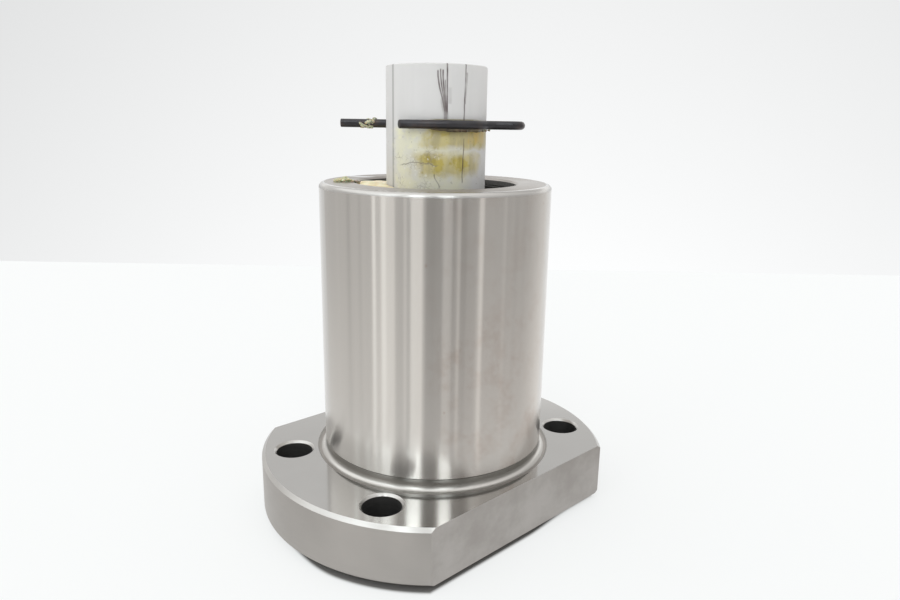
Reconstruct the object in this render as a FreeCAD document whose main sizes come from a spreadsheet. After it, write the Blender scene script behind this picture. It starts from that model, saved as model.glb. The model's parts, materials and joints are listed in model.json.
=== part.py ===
"""Flanged ball screw nut on its shipping sleeve.

Millimetres, +Z up. The nut stands on its flange end, so Z = 0 is that end's face and the
Z axis is the screw axis. The flange's two flats face -Y and +Y. The balls are kept in
their track by a plastic sleeve that takes the place of the screw, and a wire hairpin clip
through the sleeve stops it from slipping through the nut.
"""
import FreeCAD
import Part
import Sketcher
import math
import os
from FreeCAD import Placement, Rotation, Vector

SIZES = (
    # Ground body and bolting flange, turned in one piece
    ("body_dia", 40.0),
    ("nut_length", 58.9),
    ("body_edge_radius", 0.9),
    ("flange_dia", 63.0),
    ("flange_thickness", 9.8),
    ("flange_across_flats", 46.6),
    ("flange_top_chamfer", 0.6),
    ("flange_base_chamfer", 0.45),
    ("pilot_height", 1.1),
    ("bolt_hole_angle", 30.0),
    ("bolt_hole_land", 2.55),
    ("bolt_hole_chamfer", 0.4),
    # Grinding relief where the body meets the flange, cut into both
    ("relief_height", 1.85),
    ("relief_reach", 1.5),
    ("relief_depth", 0.3),
    ("relief_fillet", 1.1),
    # Ball track, and the way back through the wall
    ("ball_dia", 3.175),
    ("ball_gap", 0.15),
    ("ball_circle_dia", 20.5),
    ("track_lead", 20.0),
    ("track_clearance", 0.03),
    ("land_rise", 0.15),
    ("return_clearance", 0.1),
    ("return_wall", 0.95),
    ("return_azimuth", 56.0),
    ("deflector_bend", 4.0),
    ("deflector_wall", 1.5),
    ("deflector_lead_in", 1.0),
    ("deflector_fit", 0.05),
    # Recess in each end, with its wiper and snap ring
    ("recess_dia", 28.0),
    ("recess_chamfer", 0.35),
    ("ring_setback", 1.2),
    ("ring_thickness", 1.0),
    ("ring_play", 0.1),
    ("ring_groove_depth", 0.7),
    ("ring_width", 1.9),
    ("ring_gap_angle", 34.0),
    ("wiper_thickness", 3.8),
    ("wiper_fit", 0.05),
    ("wiper_gap", 0.3),
    ("wiper_lip", 1.2),
    ("wiper_taper", 2.0),
    # Shipping sleeve
    ("sleeve_clearance", 0.1625),
    ("sleeve_wall", 2.0),
    ("sleeve_stand", 18.95),
    ("sleeve_edge", 0.15),
    # Hairpin clip, measured from the screw axis along its straight leg
    ("wire_dia", 1.4),
    ("wire_fit", 0.05),
    ("clip_rise", 9.65),
    ("clip_azimuth", -42.2),
    ("clip_leg", 16.2),
    ("clip_bow_end", 14.9),
    ("clip_bow_radius", 1.9),
    ("clip_waist_radius", 3.0),
    ("clip_grip_angle", 113.0),
    ("clip_flick_radius", 3.0),
    ("clip_flick_angle", 45.0),
)

doc = FreeCAD.newDocument("ball_screw_nut")
sizes = doc.addObject("Spreadsheet::Sheet", "Sizes")
for row, (alias, value) in enumerate(SIZES, start=1):
    sizes.set(f"A{row}", alias)
    sizes.set(f"B{row}", str(value))
    sizes.setAlias(f"B{row}", alias)
doc.recompute()


def number(expression):
    """Value of an expression over the sheet, in millimetres or degrees."""
    result = sizes.evalExpression(str(expression))
    return float(getattr(result, "Value", result))


# Sizes that follow from the driving ones, as expressions over the sheet
BODY_R = "(Sizes.body_dia / 2)"
FLANGE_R = "(Sizes.flange_dia / 2)"
# The bolt holes lie midway between the body and the flange's rim, with a land left on each side
BOLT_CIRCLE_R = f"(({BODY_R} + {FLANGE_R}) / 2)"
BOLT_HOLE_R = f"(({FLANGE_R} - {BODY_R}) / 2 - Sizes.bolt_hole_land)"
# The body carries on a little past the flange, as a pilot that the nut stands on
FLANGE_TOP = "(Sizes.pilot_height + Sizes.flange_thickness)"
RELIEF_TOP = f"({FLANGE_TOP} + Sizes.relief_height)"
RELIEF_FLOOR = f"({FLANGE_TOP} - Sizes.relief_depth)"
RELIEF_NECK_R = f"({BODY_R} - Sizes.relief_depth)"
RELIEF_RIM_R = f"({BODY_R} + Sizes.relief_reach)"

BALL_R = "(Sizes.ball_dia / 2)"
PATH_R = "(Sizes.ball_circle_dia / 2)"
LAND_R = f"({PATH_R} + Sizes.land_rise)"
GROOVE_R = f"({BALL_R} + Sizes.track_clearance)"
WAY_R = f"({BALL_R} + Sizes.return_clearance)"
RETURN_R = f"({PATH_R} + {GROOVE_R} + Sizes.return_wall + {WAY_R})"

# A ball leaves the track along its tangent and turns down into the return hole
TANGENT_RUN = f"sqrt({RETURN_R} ^ 2 - {PATH_R} ^ 2)"
PICKUP_ANGLE = f"acos({PATH_R} / {RETURN_R})"
LEAD_ANGLE = f"atan(Sizes.track_lead / (2 * pi * {PATH_R}))"
STRAIGHT_RUN = (
    f"(({TANGENT_RUN} - Sizes.deflector_bend * (1 + sin({LEAD_ANGLE}))) / cos({LEAD_ANGLE}))"
)
PICKUP_RISE = f"({STRAIGHT_RUN} * sin({LEAD_ANGLE}))"
BEND_TOP = f"({PICKUP_RISE} + Sizes.deflector_bend * (1 - cos({LEAD_ANGLE})))"
BEND_FLOOR = f"({PICKUP_RISE} - Sizes.deflector_bend * cos({LEAD_ANGLE}))"
POCKET_HALF_WIDTH = f"({WAY_R} + Sizes.deflector_wall)"

RECESS_R = "(Sizes.recess_dia / 2)"
RING_GROOVE_R = f"({RECESS_R} + Sizes.ring_groove_depth)"
RING_GROOVE_END = "(Sizes.ring_setback + Sizes.ring_thickness + Sizes.ring_play)"
RECESS_DEPTH = f"({RING_GROOVE_END} + Sizes.wiper_thickness)"

# As many whole turns as the length between the two deflectors takes
DEFLECTOR_COVER = f"({BEND_TOP} + {WAY_R} + Sizes.deflector_wall)"
TRACK_ROOM = f"(Sizes.nut_length - 2 * ({RECESS_DEPTH} + {DEFLECTOR_COVER}))"
PICKUP_SHARE = f"(2 * {PICKUP_ANGLE} / 360 deg)"
TRACK_TURNS = f"(floor({TRACK_ROOM} / Sizes.track_lead + {PICKUP_SHARE}) - {PICKUP_SHARE})"
TRACK_HEIGHT = f"({TRACK_TURNS} * Sizes.track_lead)"
TRACK_START = f"((Sizes.nut_length - {TRACK_HEIGHT}) / 2)"
TRACK_END = f"((Sizes.nut_length + {TRACK_HEIGHT}) / 2)"
POCKET_DEPTH = f"({TRACK_START} - {BEND_FLOOR})"

SLEEVE_R = f"({PATH_R} - {BALL_R} - Sizes.sleeve_clearance)"
SLEEVE_BORE_R = f"({SLEEVE_R} - Sizes.sleeve_wall)"
SLEEVE_TOP = "(Sizes.nut_length + Sizes.sleeve_stand)"
WIRE_R = "(Sizes.wire_dia / 2)"
WIRE_HOLE_R = f"({WIRE_R} + Sizes.wire_fit)"
CLIP_HEIGHT = "(Sizes.nut_length + Sizes.clip_rise)"
GRIP_R = f"({SLEEVE_R} + Sizes.wire_fit + {WIRE_R})"


def new_body(name):
    return doc.addObject("PartDesign::Body", name)


def new_sketch(body, name, role, turn_axis=None, turn=0, height=None):
    """Sketch on one of the body's origin planes, turned about an axis or lifted along its normal."""
    sketch = body.newObject("Sketcher::SketchObject", name)
    plane = next(item for item in body.Origin.OriginFeatures if item.Role == role)
    sketch.AttachmentSupport = [(plane, "")]
    sketch.MapMode = "FlatFace"
    if turn_axis is not None:
        sketch.AttachmentOffset = Placement(Vector(), Rotation(turn_axis, number(turn)))
        sketch.setExpression("AttachmentOffset.Rotation.Angle", turn)
    if height is not None:
        sketch.setExpression("AttachmentOffset.Base.z", height)
    return sketch


def pin(sketch, kind, element, point, expression):
    """Holds one coordinate of a sketch point at an expression."""
    rule = Sketcher.Constraint(kind, -1, 1, element, point, number(expression))
    index = sketch.addConstraint(rule)
    sketch.setExpression(f"Constraints[{index}]", expression)


def add_outline(sketch, corners):
    """Closed outline of straight sides, with each corner given by two expressions."""
    first = sketch.GeometryCount
    count = len(corners)
    points = [Vector(number(across), number(along), 0) for across, along in corners]
    for index in range(count):
        sketch.addGeometry(Part.LineSegment(points[index], points[(index + 1) % count]))
    for index in range(count):
        following = first + (index + 1) % count
        sketch.addConstraint(Sketcher.Constraint("Coincident", first + index, 2, following, 1))
    for index, (across, along) in enumerate(corners):
        pin(sketch, "DistanceX", first + index, 1, across)
        pin(sketch, "DistanceY", first + index, 1, along)


def add_circle(sketch, across, along, radius):
    """Circle whose centre and radius are expressions."""
    centre = Vector(number(across), number(along), 0)
    circle = sketch.addGeometry(Part.Circle(centre, Vector(0, 0, 1), number(radius)))
    pin(sketch, "DistanceX", circle, 3, across)
    pin(sketch, "DistanceY", circle, 3, along)
    index = sketch.addConstraint(Sketcher.Constraint("Radius", circle, number(radius)))
    sketch.setExpression(f"Constraints[{index}]", radius)


def turned(body, name, sketch, angle="360"):
    """Solid turned about the sketch's vertical axis."""
    feature = body.newObject("PartDesign::Revolution", name)
    feature.Profile = sketch
    feature.ReferenceAxis = (sketch, ["V_Axis"])
    feature.setExpression("Angle", angle)
    doc.recompute()
    return feature


def cut_feature(body, kind, name, sketch, **settings):
    """Pocket or groove that has to take material away."""
    before = body.Shape.Volume
    feature = body.newObject(f"PartDesign::{kind}", name)
    feature.Profile = sketch
    for setting, value in settings.items():
        if isinstance(value, str):
            feature.setExpression(setting, value)
        else:
            setattr(feature, setting, value)
    doc.recompute()
    if not body.Shape.Volume < before:
        raise RuntimeError(f"{name} cuts nothing")
    return feature


def add_pocket_outline(sketch, turn_sign, fit):
    """Outline along the ball's tangent, from just before pick-up to round the return hole."""
    half_width = f"({POCKET_HALF_WIDTH} - {fit})"
    inner = f"({PATH_R} - {half_width})"
    outer = f"({PATH_R} + {half_width})"
    start = f"({turn_sign} * ({fit} - Sizes.deflector_lead_in))"
    finish = f"({turn_sign} * {TANGENT_RUN})"
    corners = ((inner, start), (outer, start), (outer, finish), (inner, finish))
    points = [Vector(number(across), number(along), 0) for across, along in corners]
    centre = Vector(number(PATH_R), number(finish), 0)
    tip = centre + Vector(0, turn_sign * number(half_width), 0)
    sketch.addGeometry(Part.LineSegment(points[0], points[1]))
    sketch.addGeometry(Part.LineSegment(points[1], points[2]))
    sketch.addGeometry(Part.LineSegment(points[3], points[0]))
    round_end = sketch.addGeometry(Part.Arc(points[2], tip, points[3]))
    # An arc is kept counter-clockwise, so the sign of the turn says which end comes first
    outer_end, inner_end = (1, 2) if turn_sign > 0 else (2, 1)
    for joint in ((0, 2, 1, 1), (2, 2, 0, 1), (1, 2, round_end, outer_end), (2, 1, round_end, inner_end)):
        sketch.addConstraint(Sketcher.Constraint("Coincident", *joint))
    for element, point, (across, along) in ((0, 1, corners[0]), (1, 1, corners[1]),
                                            (1, 2, corners[2]), (2, 1, corners[3])):
        pin(sketch, "DistanceX", element, point, across)
        pin(sketch, "DistanceY", element, point, along)
    pin(sketch, "DistanceY", round_end, 3, finish)


def end_recess_section(at):
    """Section of one end's recess, from its mouth to its floor; at() turns depth into height."""
    return [
        (f"({RECESS_R} + Sizes.recess_chamfer)", at("0")),
        (RECESS_R, at("Sizes.recess_chamfer")),
        (RECESS_R, at("Sizes.ring_setback")),
        (RING_GROOVE_R, at("Sizes.ring_setback")),
        (RING_GROOVE_R, at(RING_GROOVE_END)),
        (RECESS_R, at(RING_GROOVE_END)),
        (RECESS_R, at(RECESS_DEPTH)),
        (LAND_R, at(RECESS_DEPTH)),
    ]


def rim_names(feature, radius, wanted):
    """Names of a feature's round edges of one radius whose centres are wanted."""
    names = []
    for index, edge in enumerate(feature.Shape.Edges, start=1):
        is_round = isinstance(edge.Curve, Part.Circle)
        if is_round and math.isclose(edge.Curve.Radius, number(radius)) and wanted(edge.BoundBox.Center):
            names.append(f"Edge{index}")
    return names


def round_rim(body, name, feature, rim_radius, height, rounding):
    """Fillet on a feature's round edge of one radius at one height."""
    fillet = body.newObject("PartDesign::Fillet", name)
    fillet.Base = (feature, rim_names(feature, rim_radius,
                                      lambda centre: math.isclose(centre.z, number(height))))
    fillet.setExpression("Radius", rounding)
    doc.recompute()


def make_nut_body():
    """Body and flange with bolt holes, end recesses, ball track, return hole and deflector pockets."""
    body = new_body("nut_blank")
    section = new_sketch(body, "turned_section", "XZ_Plane")
    outside = [
        (f"({BODY_R} - Sizes.flange_base_chamfer)", "0"),
        (BODY_R, "Sizes.flange_base_chamfer"),
        (BODY_R, "Sizes.pilot_height"),
        (f"({FLANGE_R} - Sizes.flange_base_chamfer)", "Sizes.pilot_height"),
        (FLANGE_R, "(Sizes.pilot_height + Sizes.flange_base_chamfer)"),
        (FLANGE_R, f"({FLANGE_TOP} - Sizes.flange_top_chamfer)"),
        (f"({FLANGE_R} - Sizes.flange_top_chamfer)", FLANGE_TOP),
        (BODY_R, FLANGE_TOP),
        (BODY_R, "Sizes.nut_length"),
    ]
    top_recess = end_recess_section(lambda depth: f"(Sizes.nut_length - {depth})")
    flange_recess = end_recess_section(lambda depth: depth)
    add_outline(section, outside + top_recess + flange_recess[::-1])
    blank = turned(body, "turned_blank", section)
    round_rim(body, "body_edge", blank, BODY_R, "Sizes.nut_length", "Sizes.body_edge_radius")

    relief = new_sketch(body, "relief_section", "XZ_Plane")
    add_outline(relief, [
        (RELIEF_NECK_R, RELIEF_FLOOR),
        (f"({RELIEF_RIM_R} - Sizes.relief_depth)", RELIEF_FLOOR),
        (RELIEF_RIM_R, FLANGE_TOP),
        (RELIEF_RIM_R, RELIEF_TOP),
        (BODY_R, RELIEF_TOP),
        (RELIEF_NECK_R, f"({RELIEF_TOP} - Sizes.relief_depth)"),
    ])
    relieved = cut_feature(body, "Groove", "grinding_relief", relief,
                           ReferenceAxis=(relief, ["V_Axis"]), Angle="360")
    round_rim(body, "relief_corner", relieved, RELIEF_NECK_R, RELIEF_FLOOR, "Sizes.relief_fillet")

    flats = new_sketch(body, "flats_outline", "XY_Plane")
    for side in ("-1", "1"):
        near = f"({side} * Sizes.flange_across_flats / 2)"
        far = f"({side} * {FLANGE_R})"
        add_outline(flats, [(f"-{FLANGE_R}", near), (FLANGE_R, near), (FLANGE_R, far), (f"-{FLANGE_R}", far)])
    cut_feature(body, "Pocket", "flange_flats", flats, Reversed=True, Length=FLANGE_TOP)

    holes = new_sketch(body, "bolt_hole_centres", "XY_Plane")
    reach = f"({BOLT_CIRCLE_R} * cos(Sizes.bolt_hole_angle * 1 deg))"
    spread = f"({BOLT_CIRCLE_R} * sin(Sizes.bolt_hole_angle * 1 deg))"
    for along in ("-1", "1"):
        for across in ("-1", "1"):
            add_circle(holes, f"({along} * {reach})", f"({across} * {spread})", BOLT_HOLE_R)
    drilled = cut_feature(body, "Pocket", "bolt_holes", holes, Reversed=True, Length=FLANGE_TOP)
    eased = body.newObject("PartDesign::Chamfer", "bolt_hole_rims")
    eased.Base = (drilled, rim_names(drilled, BOLT_HOLE_R,
                                     lambda centre: math.hypot(centre.x, centre.y) > number(BODY_R)))
    eased.setExpression("Size", "Sizes.bolt_hole_chamfer")
    doc.recompute()

    way = new_sketch(body, "return_hole_outline", "XY_Plane", Vector(0, 0, 1), "Sizes.return_azimuth")
    add_circle(way, RETURN_R, "0", WAY_R)
    cut_feature(body, "Pocket", "return_hole", way, Reversed=True, Length="Sizes.nut_length")

    for end, turn_sign, height in (("top", 1, "Sizes.nut_length"), ("flange", -1, None)):
        turn = f"(Sizes.return_azimuth * 1 deg - {turn_sign} * {PICKUP_ANGLE})"
        pocket = new_sketch(body, f"{end}_pocket_outline", "XY_Plane", Vector(0, 0, 1), turn, height)
        add_pocket_outline(pocket, turn_sign, "0")
        cut_feature(body, "Pocket", f"{end}_deflector_pocket", pocket,
                    Reversed=turn_sign < 0, Length=POCKET_DEPTH)

    nut = doc.addObject("Part::Cut", "nut_body")
    nut.Base = body
    nut.Tool = make_track_cutter()
    return nut


def make_track_cutter():
    """Round cutter swept along the ball helix, square to the helix."""
    helix = doc.addObject("Part::Helix", "track_helix")
    helix.setExpression("Pitch", "Sizes.track_lead")
    helix.setExpression("Height", TRACK_HEIGHT)
    helix.setExpression("Radius", PATH_R)
    section = doc.addObject("Part::Circle", "track_section")
    section.setExpression("Radius", GROOVE_R)
    section.Placement = Placement(Vector(), Rotation(Vector(1, 0, 0), number(f"{LEAD_ANGLE} - 90 deg")))
    section.setExpression("Placement.Base.x", PATH_R)
    doc.recompute()
    cutter = doc.addObject("Part::Sweep", "track_cutter")
    cutter.Sections = [section]
    cutter.Spine = (helix, [f"Edge{index + 1}" for index in range(len(helix.Shape.Edges))])
    cutter.Solid = True
    cutter.Frenet = True
    start_angle = number(f"Sizes.return_azimuth * 1 deg + {PICKUP_ANGLE}")
    cutter.Placement = Placement(Vector(0, 0, number(TRACK_START)), Rotation(Vector(0, 0, 1), start_angle))
    doc.recompute()
    return cutter


def pickup_frame():
    """Frame at the top end of the track: X radial, Y the ball's way, origin level with the ball."""
    angle = number(f"Sizes.return_azimuth * 1 deg - {PICKUP_ANGLE}")
    return Placement(Vector(0, 0, number(TRACK_END)), Rotation(Vector(0, 0, 1), angle))


def end_for_end():
    """Half turn about the radius through the return hole, which carries one end on to the other."""
    azimuth = math.radians(number("Sizes.return_azimuth"))
    radius = Vector(math.cos(azimuth), math.sin(azimuth), 0)
    return Placement(Vector(0, 0, number("Sizes.nut_length")), Rotation(radius, 180))


def make_deflector(end, place):
    """Block that fills a deflector pocket, with the curved way from the track to the return hole."""
    block = new_body(f"{end}_deflector_block")
    outline = new_sketch(block, f"{end}_deflector_outline", "XY_Plane", height=BEND_FLOOR)
    add_pocket_outline(outline, 1, "Sizes.deflector_fit")
    pad = block.newObject("PartDesign::Pad", f"{end}_deflector_pad")
    pad.Profile = outline
    pad.setExpression("Length", f"({POCKET_DEPTH} - {RECESS_DEPTH})")
    doc.recompute()
    bore = new_sketch(block, f"{end}_deflector_bore", "XY_Plane", height=BEND_FLOOR)
    add_circle(bore, "0", "0", LAND_R)
    cut_feature(block, "Pocket", f"{end}_deflector_hollow", bore, Reversed=True, Length=POCKET_DEPTH)

    lead_angle = number(LEAD_ANGLE)
    run = doc.addObject("Part::Cylinder", f"{end}_way_run")
    run.setExpression("Radius", WAY_R)
    run.setExpression("Height", f"(2 * Sizes.deflector_lead_in + {STRAIGHT_RUN})")
    run.Placement = Placement(Vector(), Rotation(Vector(1, 0, 0), lead_angle - 90))
    run.setExpression("Placement.Base.x", PATH_R)
    run.setExpression("Placement.Base.y", f"-2 * Sizes.deflector_lead_in * cos({LEAD_ANGLE})")
    run.setExpression("Placement.Base.z", f"-2 * Sizes.deflector_lead_in * sin({LEAD_ANGLE})")
    bend = doc.addObject("Part::Torus", f"{end}_way_bend")
    bend.setExpression("Radius1", "Sizes.deflector_bend")
    bend.setExpression("Radius2", WAY_R)
    bend.setExpression("Angle3", f"90 deg + {LEAD_ANGLE}")
    bend.Placement = Placement(Vector(), Rotation(Vector(1, 1, 1), 120))
    bend.setExpression("Placement.Base.x", PATH_R)
    bend.setExpression("Placement.Base.y", f"{TANGENT_RUN} - Sizes.deflector_bend")
    bend.setExpression("Placement.Base.z", BEND_FLOOR)
    drop = doc.addObject("Part::Cylinder", f"{end}_way_drop")
    drop.setExpression("Radius", WAY_R)
    drop.setExpression("Height", "Sizes.deflector_wall")
    drop.setExpression("Placement.Base.x", PATH_R)
    drop.setExpression("Placement.Base.y", TANGENT_RUN)
    drop.setExpression("Placement.Base.z", f"{BEND_FLOOR} - Sizes.deflector_wall")
    way = doc.addObject("Part::MultiFuse", f"{end}_way")
    way.Shapes = [run, bend, drop]
    deflector = doc.addObject("Part::Cut", f"{end}_deflector")
    deflector.Base = block
    deflector.Tool = way
    deflector.Placement = place
    doc.recompute()
    return deflector


def return_point(distance):
    """Ball centre on the way from the top of the track into the return hole, in the pick-up frame."""
    lead_angle = math.radians(number(LEAD_ANGLE))
    run = number(STRAIGHT_RUN)
    bend = number("Sizes.deflector_bend")
    if distance <= run:
        return Vector(number(PATH_R), distance * math.cos(lead_angle), distance * math.sin(lead_angle))
    turn = math.pi / 2 + lead_angle - (distance - run) / bend
    centre = Vector(number(PATH_R), number(TANGENT_RUN) - bend, number(BEND_FLOOR))
    return centre + Vector(0, bend * math.cos(turn), bend * math.sin(turn))


def ball_centres():
    """Centres of the balls spread evenly round the closed way, first the track, then the return."""
    pitch = number("Sizes.track_lead")
    radius = number(PATH_R)
    turn_length = math.hypot(2 * math.pi * radius, pitch)
    track = number(TRACK_TURNS) * turn_length
    deflected = number(STRAIGHT_RUN)
    deflected += number("Sizes.deflector_bend") * (math.pi / 2 + math.radians(number(LEAD_ANGLE)))
    hole = number(TRACK_HEIGHT) + 2 * number(BEND_FLOOR)
    loop = track + 2 * deflected + hole
    count = int(loop // number("Sizes.ball_dia + Sizes.ball_gap"))
    start_angle = math.radians(number(f"Sizes.return_azimuth * 1 deg + {PICKUP_ANGLE}"))
    frame = pickup_frame()
    flip = end_for_end()
    in_track = []
    in_return = []
    for index in range(count):
        distance = loop * index / count
        if distance <= track:
            turns = distance / turn_length
            angle = start_angle + 2 * math.pi * turns
            height = number(TRACK_START) + turns * pitch
            in_track.append(Vector(radius * math.cos(angle), radius * math.sin(angle), height))
        elif distance <= track + deflected:
            in_return.append(frame.multVec(return_point(distance - track)))
        elif distance <= track + deflected + hole:
            mouth = frame.multVec(return_point(deflected))
            in_return.append(mouth - Vector(0, 0, distance - track - deflected))
        else:
            in_return.append(flip.multVec(frame.multVec(return_point(loop - distance))))
    return in_track, in_return


def make_balls(name, centres):
    """A set of loose balls."""
    radius = number(BALL_R)
    balls = doc.addObject("Part::Feature", name)
    balls.Shape = Part.makeCompound([Part.makeSphere(radius, centre) for centre in centres])
    return balls


def make_wiper(end, place):
    """Wiper ring with a tapered lip at its outer face."""
    body = new_body(f"{end}_wiper")
    section = new_sketch(body, f"{end}_wiper_section", "XZ_Plane")
    lip_r = f"({SLEEVE_R} + Sizes.wiper_gap)"
    rim_r = f"({RECESS_R} - Sizes.wiper_fit)"
    add_outline(section, [
        (f"({lip_r} + Sizes.wiper_taper)", "0"),
        (rim_r, "0"),
        (rim_r, "Sizes.wiper_thickness"),
        (lip_r, "Sizes.wiper_thickness"),
        (lip_r, "(Sizes.wiper_thickness - Sizes.wiper_lip)"),
    ])
    turned(body, f"{end}_wiper_ring", section)
    body.Placement = place
    return body


def make_retaining_ring(end, place):
    """Open snap ring of square section that holds the wiper in its recess."""
    body = new_body(f"{end}_retaining_ring")
    section = new_sketch(body, f"{end}_ring_section", "XZ_Plane")
    outer = f"({RING_GROOVE_R} - Sizes.wiper_fit)"
    inner = f"({outer} - Sizes.ring_width)"
    add_outline(section, [
        (inner, "0"),
        (outer, "0"),
        (outer, "Sizes.ring_thickness"),
        (inner, "Sizes.ring_thickness"),
    ])
    turned(body, f"{end}_ring", section, "360 - Sizes.ring_gap_angle")
    body.Placement = place
    return body


def make_sleeve():
    """Plastic tube in the screw's place, with a cross hole for the clip."""
    body = new_body("shipping_sleeve")
    section = new_sketch(body, "sleeve_section", "XZ_Plane")
    edge = "Sizes.sleeve_edge"
    add_outline(section, [
        (f"({SLEEVE_BORE_R} + {edge})", "0"),
        (f"({SLEEVE_R} - {edge})", "0"),
        (SLEEVE_R, edge),
        (SLEEVE_R, f"({SLEEVE_TOP} - {edge})"),
        (f"({SLEEVE_R} - {edge})", SLEEVE_TOP),
        (f"({SLEEVE_BORE_R} + {edge})", SLEEVE_TOP),
        (SLEEVE_BORE_R, f"({SLEEVE_TOP} - {edge})"),
        (SLEEVE_BORE_R, edge),
    ])
    turned(body, "sleeve_tube", section)
    hole = new_sketch(body, "clip_hole_outline", "YZ_Plane", Vector(0, 1, 0), "Sizes.clip_azimuth")
    add_circle(hole, "0", CLIP_HEIGHT, WIRE_HOLE_R)
    cut_feature(body, "Pocket", "clip_hole", hole, Midplane=True, Length=f"4 * {SLEEVE_R}")
    return body


def arc_edge(centre, radius, start, sweep):
    """Arc of a level circle, from an angle through a signed sweep, in degrees."""
    points = []
    for share in (0, 0.5, 1):
        angle = math.radians(start + share * sweep)
        points.append(centre + Vector(radius * math.cos(angle), radius * math.sin(angle), 0))
    return Part.Arc(*points).toShape()


def make_clip():
    """Wire clip: straight leg through the sleeve, bow, and a spring leg bent round the sleeve's front."""
    bow = number("Sizes.clip_bow_radius")
    waist = number("Sizes.clip_waist_radius")
    grip = number(GRIP_R)
    flick = number("Sizes.clip_flick_radius")
    grip_angle = number("Sizes.clip_grip_angle")
    bow_centre = Vector(number(f"Sizes.clip_bow_end - {WIRE_R}") - bow, -bow, 0)
    waist_drop = 2 * bow + waist
    waist_centre = Vector(math.sqrt((grip + waist) ** 2 - waist_drop ** 2), -waist_drop, 0)
    waist_turn = math.degrees(math.acos(waist_drop / (grip + waist)))
    grip_tip = Vector(math.cos(math.radians(grip_angle)), -math.sin(math.radians(grip_angle)), 0)
    leg_end = Vector(-number("Sizes.clip_leg"), 0, 0)
    edges = [
        Part.LineSegment(leg_end, bow_centre + Vector(0, bow, 0)).toShape(),
        arc_edge(bow_centre, bow, 90, -180),
        Part.LineSegment(bow_centre - Vector(0, bow, 0), waist_centre + Vector(0, waist, 0)).toShape(),
        arc_edge(waist_centre, waist, 90, waist_turn),
        arc_edge(Vector(), grip, waist_turn - 90, 90 - grip_angle - waist_turn),
        arc_edge(grip_tip * (grip + flick), flick, 180 - grip_angle, number("Sizes.clip_flick_angle")),
    ]
    path = doc.addObject("Part::Feature", "clip_path")
    path.Shape = Part.Wire(edges)
    section = doc.addObject("Part::Circle", "clip_section")
    section.setExpression("Radius", WIRE_R)
    section.Placement = Placement(leg_end, Rotation(Vector(0, 1, 0), 90))
    doc.recompute()
    clip = doc.addObject("Part::Sweep", "hairpin_clip")
    clip.Sections = [section]
    clip.Spine = (path, [f"Edge{index + 1}" for index in range(len(edges))])
    clip.Solid = True
    azimuth = Rotation(Vector(0, 0, 1), number("Sizes.clip_azimuth"))
    clip.Placement = Placement(Vector(0, 0, number(CLIP_HEIGHT)), azimuth)
    doc.recompute()
    return clip


def at_top(depth, azimuth=0):
    """Place of a ring that stands at a depth below the top face."""
    height = number(f"Sizes.nut_length - {depth}")
    return Placement(Vector(0, 0, height), Rotation(Vector(0, 0, 1), azimuth))


def make_parts():
    """Every sub-part, the top end's pieces first and the flange end's turned over from them."""
    flip = end_for_end()
    pickup = pickup_frame()
    in_track, in_return = ball_centres()
    wiper_place = at_top(RECESS_DEPTH)
    ring_azimuth = number("Sizes.return_azimuth + Sizes.ring_gap_angle / 2")
    ring_place = at_top(RING_GROOVE_END, ring_azimuth)
    return [
        make_nut_body(),
        make_deflector("top", pickup),
        make_deflector("flange", flip * pickup),
        make_balls("track_balls", in_track),
        make_balls("return_balls", in_return),
        make_wiper("top", wiper_place),
        make_wiper("flange", flip * wiper_place),
        make_retaining_ring("top", ring_place),
        make_retaining_ring("flange", flip * ring_place),
        make_sleeve(),
        make_clip(),
    ]


def check(parts):
    """Stops before anything is written if an object failed or a shape is not sound."""
    for item in doc.Objects:
        if "Invalid" in item.State or "Error" in item.State:
            raise RuntimeError(f"{item.Name} is {item.State}")
    for part in parts:
        if part.Shape.isNull() or not part.Shape.isValid():
            raise RuntimeError(f"{part.Label} has no sound shape")


def write(parts):
    os.makedirs("parts", exist_ok=True)
    for part in parts:
        part.Shape.exportStep(f"parts/{part.Label}.step")
        solids = len(part.Shape.Solids)
        print(f"{part.Label}: {solids} solid(s), {part.Shape.Volume:.1f} mm3")


parts = make_parts()
doc.recompute()
check(parts)
write(parts)
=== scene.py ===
"""Flanged ball screw nut on its shipping sleeve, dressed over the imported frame.

Metres, +Z up along the screw axis, as in the frame. A bearing is an angle about the screw axis in
degrees, with 0 towards the photographer and positive to the right as seen from there.
"""
import json
import math

import bmesh
import bpy
from mathutils import Matrix, Vector, noise


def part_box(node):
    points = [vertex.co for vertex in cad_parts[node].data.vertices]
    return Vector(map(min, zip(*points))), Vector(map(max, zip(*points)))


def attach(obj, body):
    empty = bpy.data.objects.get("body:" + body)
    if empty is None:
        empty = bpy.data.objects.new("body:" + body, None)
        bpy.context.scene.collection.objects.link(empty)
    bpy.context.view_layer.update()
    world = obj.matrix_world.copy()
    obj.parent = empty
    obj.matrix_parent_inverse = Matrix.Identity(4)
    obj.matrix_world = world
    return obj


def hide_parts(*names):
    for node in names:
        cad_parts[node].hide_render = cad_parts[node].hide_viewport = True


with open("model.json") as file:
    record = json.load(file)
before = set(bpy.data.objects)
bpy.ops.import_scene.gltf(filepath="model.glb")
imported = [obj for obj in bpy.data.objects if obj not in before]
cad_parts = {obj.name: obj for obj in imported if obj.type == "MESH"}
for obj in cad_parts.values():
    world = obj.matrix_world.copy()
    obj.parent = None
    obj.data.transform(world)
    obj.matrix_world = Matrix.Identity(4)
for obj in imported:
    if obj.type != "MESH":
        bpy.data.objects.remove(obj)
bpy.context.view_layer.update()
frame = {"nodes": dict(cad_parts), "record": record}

MM = 0.001
NODES = frame["nodes"]
MOUNTS = {mount["name"]: mount for mount in frame["record"]["mounts"]}

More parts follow.
